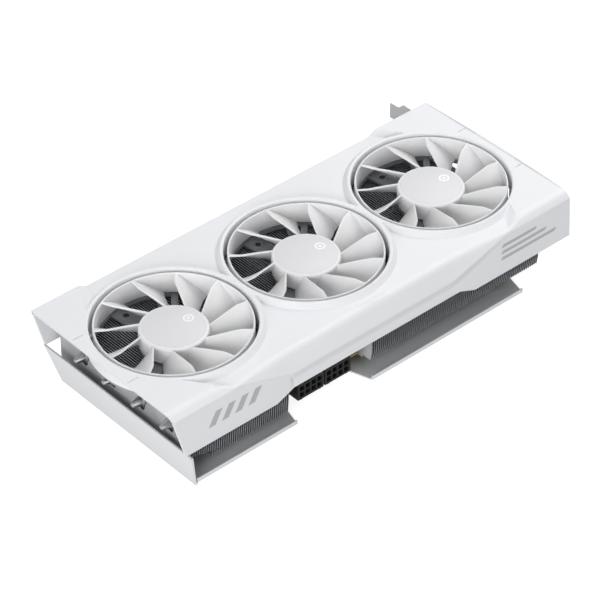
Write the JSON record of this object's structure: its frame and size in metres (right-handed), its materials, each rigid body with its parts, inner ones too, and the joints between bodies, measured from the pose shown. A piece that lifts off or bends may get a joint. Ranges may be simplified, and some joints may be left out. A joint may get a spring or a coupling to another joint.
{
  "type": "graphics card",
  "caption": "Long desktop graphics card with round ringed fans in a faceted white shroud, a finned heat-pipe cooler, a metal backplate and a slotted input-output bracket.",
  "frame": {"origin": "centre of the bottom of the bounding box, on the outer face of the backplate that the card rests on", "axes": "+X from the open end to the input-output bracket, +Y from the power connectors to the PCIe edge connector, +Z from the backplate to the fans"},
  "size_m": [0.3006, 0.1504, 0.0508],
  "materials": {
    "white_shroud": "fine-textured moulded white plastic",
    "white_blades": "smooth moulded white plastic",
    "hub_disc": "satin pale grey foil",
    "steel_fastener": "plated steel",
    "motor_black": "dark moulded plastic",
    "fan_frame_grey": "dark grey moulded plastic",
    "fin_aluminium": "thin darkened aluminium sheet",
    "nickel_plate": "satin nickel plating",
    "copper": "machined copper",
    "board": "black solder mask",
    "chip_black": "moulded epoxy",
    "silicon": "polished silicon",
    "ferrite": "pressed powder",
    "can_aluminium": "drawn can",
    "connector_black": "moulded nylon",
    "port_shell": "plated shell",
    "bracket_steel": "plated sheet steel",
    "backplate_paint": "painted pale grey sheet"
  },
  "bodies": {
    "card": {"backplate": "backplate_paint", "bracket_screw_1": "steel_fastener", "bracket_screw_2": "steel_fastener", "capacitor_1": "can_aluminium", "capacitor_2": "can_aluminium", "capacitor_3": "can_aluminium", "capacitor_4": "can_aluminium", "choke_1": "ferrite", "choke_2": "ferrite", "choke_3": "ferrite", "choke_4": "ferrite", "choke_5": "ferrite", "choke_6": "ferrite", "cold_plate": "copper", "cooler_base_plate": "nickel_plate", "displayport_1": "port_shell", "displayport_2": "port_shell", "displayport_3": "port_shell", "fan_left_frame": "fan_frame_grey", "fan_left_motor_stator": "motor_black", "fan_middle_frame": "fan_frame_grey", "fan_middle_motor_stator": "motor_black", "fan_right_frame": "fan_frame_grey", "fan_right_motor_stator": "motor_black", "fan_shroud": "white_shroud", "fin_stack_left": "fin_aluminium", "fin_stack_right": "fin_aluminium", "gpu_die": "silicon", "gpu_package": "chip_black", "hdmi_port": "port_shell", "heat_pipe_1": "nickel_plate", "heat_pipe_2": "nickel_plate", "heat_pipe_3": "nickel_plate", "heat_pipe_4": "nickel_plate", "io_bracket": "bracket_steel", "memory_chip_1": "chip_black", "memory_chip_2": "chip_black", "memory_chip_3": "chip_black", "memory_chip_4": "chip_black", "memory_chip_5": "chip_black", "memory_chip_6": "chip_black", "memory_chip_7": "chip_black", "memory_chip_8": "chip_black", "pcb": "board", "power_connector_1": "connector_black", "power_connector_2": "connector_black", "retention_cross": "bracket_steel", "retention_screw_1": "steel_fastener", "retention_screw_2": "steel_fastener", "retention_screw_3": "steel_fastener", "retention_screw_4": "steel_fastener"},
    "fan_left_rotor": {"fan_left_impeller": "white_blades", "fan_left_hub_disc": "hub_disc", "fan_left_shaft": "steel_fastener"},
    "fan_middle_rotor": {"fan_middle_impeller": "white_blades", "fan_middle_hub_disc": "hub_disc", "fan_middle_shaft": "steel_fastener"},
    "fan_right_rotor": {"fan_right_impeller": "white_blades", "fan_right_hub_disc": "hub_disc", "fan_right_shaft": "steel_fastener"}
  },
  "joints": [
    {"name": "fan_left_spin", "type": "hinge", "parent": "card", "child": "fan_left_rotor", "pos_m": [-0.09923, -0.0124, 0.042], "axis": [0, 0, 1], "continuous": true},
    {"name": "fan_middle_spin", "type": "hinge", "parent": "card", "child": "fan_middle_rotor", "pos_m": [-0.00523, -0.0124, 0.042], "axis": [0, 0, 1], "continuous": true},
    {"name": "fan_right_spin", "type": "hinge", "parent": "card", "child": "fan_right_rotor", "pos_m": [0.08877, -0.0124, 0.042], "axis": [0, 0, 1], "continuous": true}
  ]
}
